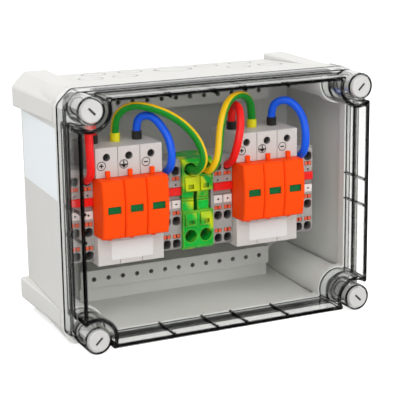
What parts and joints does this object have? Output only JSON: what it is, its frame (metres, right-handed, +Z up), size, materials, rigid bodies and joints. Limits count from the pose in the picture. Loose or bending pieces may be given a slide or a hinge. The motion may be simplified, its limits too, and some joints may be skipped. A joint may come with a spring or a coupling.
{
  "type": "dc combiner box",
  "caption": "Wall-mounted grey plastic DC combiner box with a clear lift-off cover, plug-in surge arresters and push-in terminals wired on a rail.",
  "frame": {"origin": "centre of the flat back face that lies on the wall", "axes": "+X right seen from the front, +Y into the wall, +Z up"},
  "size_m": [0.2528, 0.133, 0.1944],
  "materials": {
    "case_grey": "fine moulded texture",
    "clear_cover": "clear polished polycarbonate",
    "gasket": "foamed polyurethane, matt",
    "knob_plastic": "moulded, semi-gloss",
    "insert_plastic": "moulded",
    "zinc_rail": "zinc plated and passivated",
    "screw_steel": "zinc plated",
    "arrester_grey": "moulded polyamide",
    "tinned_copper": "tin plated copper",
    "latch_grey": "moulded",
    "module_orange": "moulded, satin",
    "flag_green": "printed flag",
    "terminal_grey": "moulded polyamide",
    "pusher_orange": "moulded",
    "bridge_red": "moulded",
    "tag_white": "moulded",
    "earth_green": "tinted polyamide",
    "earth_yellow": "tinted polyamide",
    "wire_green_yellow": "PVC insulation, green and yellow",
    "wire_blue": "PVC insulation",
    "wire_red": "PVC insulation",
    "ferrule_black": "moulded collar",
    "ferrule_yellow": "moulded collar"
  },
  "bodies": {
    "case": {"base_shell": "case_grey", "bridges": "bridge_red", "contact_clips_left": "tinned_copper", "contact_clips_right": "tinned_copper", "corner_columns": "case_grey", "cover_gasket": "gasket", "din_rail": "zinc_rail", "earth_terminals": "earth_green", "end_plates": "terminal_grey", "ferrules_black": "ferrule_black", "ferrules_yellow": "ferrule_yellow", "knob_inserts": "insert_plastic", "marker_tags": "tag_white", "mounting_ledges": "case_grey", "rail_screws": "screw_steel", "surge_base_left": "arrester_grey", "surge_base_right": "arrester_grey", "terminal_screws": "screw_steel", "terminals_inner": "terminal_grey", "terminals_left": "terminal_grey", "terminals_middle": "terminal_grey", "terminals_outer": "terminal_grey", "wire_blue_left": "wire_blue", "wire_blue_right": "wire_blue", "wire_earth_left": "wire_green_yellow", "wire_earth_right": "wire_green_yellow", "wire_red_left": "wire_red", "wire_red_right": "wire_red"},
    "cover": {"cover": "clear_cover"},
    "knob_tl": {"cover_knob_tl": "knob_plastic"},
    "knob_tr": {"cover_knob_tr": "knob_plastic"},
    "knob_bl": {"cover_knob_bl": "knob_plastic"},
    "knob_br": {"cover_knob_br": "knob_plastic"},
    "module_left_1": {"plug_module_left_1": "module_orange", "module_blades_left_1": "tinned_copper"},
    "flag_left_1": {"status_flag_left_1": "flag_green"},
    "module_left_2": {"plug_module_left_2": "module_orange", "module_blades_left_2": "tinned_copper"},
    "flag_left_2": {"status_flag_left_2": "flag_green"},
    "module_left_3": {"plug_module_left_3": "module_orange", "module_blades_left_3": "tinned_copper"},
    "flag_left_3": {"status_flag_left_3": "flag_green"},
    "latch_left": {"rail_latch_left": "latch_grey"},
    "module_right_1": {"plug_module_right_1": "module_orange", "module_blades_right_1": "tinned_copper"},
    "flag_right_1": {"status_flag_right_1": "flag_green"},
    "module_right_2": {"plug_module_right_2": "module_orange", "module_blades_right_2": "tinned_copper"},
    "flag_right_2": {"status_flag_right_2": "flag_green"},
    "module_right_3": {"plug_module_right_3": "module_orange", "module_blades_right_3": "tinned_copper"},
    "flag_right_3": {"status_flag_right_3": "flag_green"},
    "latch_right": {"rail_latch_right": "latch_grey"},
    "push_left": {"pushers_left": "pusher_orange"},
    "push_inner": {"pushers_inner": "pusher_orange"},
    "push_middle": {"pushers_middle": "pusher_orange"},
    "push_outer": {"pushers_outer": "pusher_orange"},
    "push_earth": {"earth_pushers": "earth_yellow"}
  },
  "joints": [
    {"name": "cover_lift", "type": "slide", "parent": "case", "child": "cover", "axis": [0, -1, 0], "range_m": [0, 0.15]},
    {"name": "knob_turn_tl", "type": "hinge", "parent": "cover", "child": "knob_tl", "pos_m": [-0.1103, -0.131, 0.0848], "axis": [0, -1, 0], "range_deg": [0, 90]},
    {"name": "knob_turn_tr", "type": "hinge", "parent": "cover", "child": "knob_tr", "pos_m": [0.1103, -0.131, 0.0848], "axis": [0, -1, 0], "range_deg": [0, 90]},
    {"name": "knob_turn_bl", "type": "hinge", "parent": "cover", "child": "knob_bl", "pos_m": [-0.1103, -0.131, -0.0848], "axis": [0, -1, 0], "range_deg": [0, 90]},
    {"name": "knob_turn_br", "type": "hinge", "parent": "cover", "child": "knob_br", "pos_m": [0.1103, -0.131, -0.0848], "axis": [0, -1, 0], "range_deg": [0, 90]},
    {"name": "module_pull_left_1", "type": "slide", "parent": "case", "child": "module_left_1", "axis": [0, -1, 0], "range_m": [0, 0.018]},
    {"name": "flag_slide_left_1", "type": "slide", "parent": "module_left_1", "child": "flag_left_1", "axis": [0, 0, 1], "range_m": [0, 0.005]},
    {"name": "module_pull_left_2", "type": "slide", "parent": "case", "child": "module_left_2", "axis": [0, -1, 0], "range_m": [0, 0.018]},
    {"name": "flag_slide_left_2", "type": "slide", "parent": "module_left_2", "child": "flag_left_2", "axis": [0, 0, 1], "range_m": [0, 0.005]},
    {"name": "module_pull_left_3", "type": "slide", "parent": "case", "child": "module_left_3", "axis": [0, -1, 0], "range_m": [0, 0.018]},
    {"name": "flag_slide_left_3", "type": "slide", "parent": "module_left_3", "child": "flag_left_3", "axis": [0, 0, 1], "range_m": [0, 0.005]},
    {"name": "latch_pull_left", "type": "slide", "parent": "case", "child": "latch_left", "axis": [0, 0, -1], "range_m": [0, 0.004], "stiffness_N_per_m": 400, "springref_m": -0.002},
    {"name": "module_pull_right_1", "type": "slide", "parent": "case", "child": "module_right_1", "axis": [0, -1, 0], "range_m": [0, 0.018]},
    {"name": "flag_slide_right_1", "type": "slide", "parent": "module_right_1", "child": "flag_right_1", "axis": [0, 0, 1], "range_m": [0, 0.005]},
    {"name": "module_pull_right_2", "type": "slide", "parent": "case", "child": "module_right_2", "axis": [0, -1, 0], "range_m": [0, 0.018]},
    {"name": "flag_slide_right_2", "type": "slide", "parent": "module_right_2", "child": "flag_right_2", "axis": [0, 0, 1], "range_m": [0, 0.005]},
    {"name": "module_pull_right_3", "type": "slide", "parent": "case", "child": "module_right_3", "axis": [0, -1, 0], "range_m": [0, 0.018]},
    {"name": "flag_slide_right_3", "type": "slide", "parent": "module_right_3", "child": "flag_right_3", "axis": [0, 0, 1], "range_m": [0, 0.005]},
    {"name": "latch_pull_right", "type": "slide", "parent": "case", "child": "latch_right", "axis": [0, 0, -1], "range_m": [0, 0.004], "stiffness_N_per_m": 400, "springref_m": -0.002},
    {"name": "push_in_left", "type": "slide", "parent": "case", "child": "push_left", "axis": [0, 1, 0], "range_m": [0, 0.0013], "stiffness_N_per_m": 800, "springref_m": -0.0005},
    {"name": "push_in_inner", "type": "slide", "parent": "case", "child": "push_inner", "axis": [0, 1, 0], "range_m": [0, 0.0013], "stiffness_N_per_m": 800, "springref_m": -0.0005},
    {"name": "push_in_middle", "type": "slide", "parent": "case", "child": "push_middle", "axis": [0, 1, 0], "range_m": [0, 0.0013], "stiffness_N_per_m": 800, "springref_m": -0.0005},
    {"name": "push_in_outer", "type": "slide", "parent": "case", "child": "push_outer", "axis": [0, 1, 0], "range_m": [0, 0.0013], "stiffness_N_per_m": 800, "springref_m": -0.0005},
    {"name": "push_in_earth", "type": "slide", "parent": "case", "child": "push_earth", "axis": [0, 1, 0], "range_m": [0, 0.0013], "stiffness_N_per_m": 800, "springref_m": -0.0005}
  ]
}
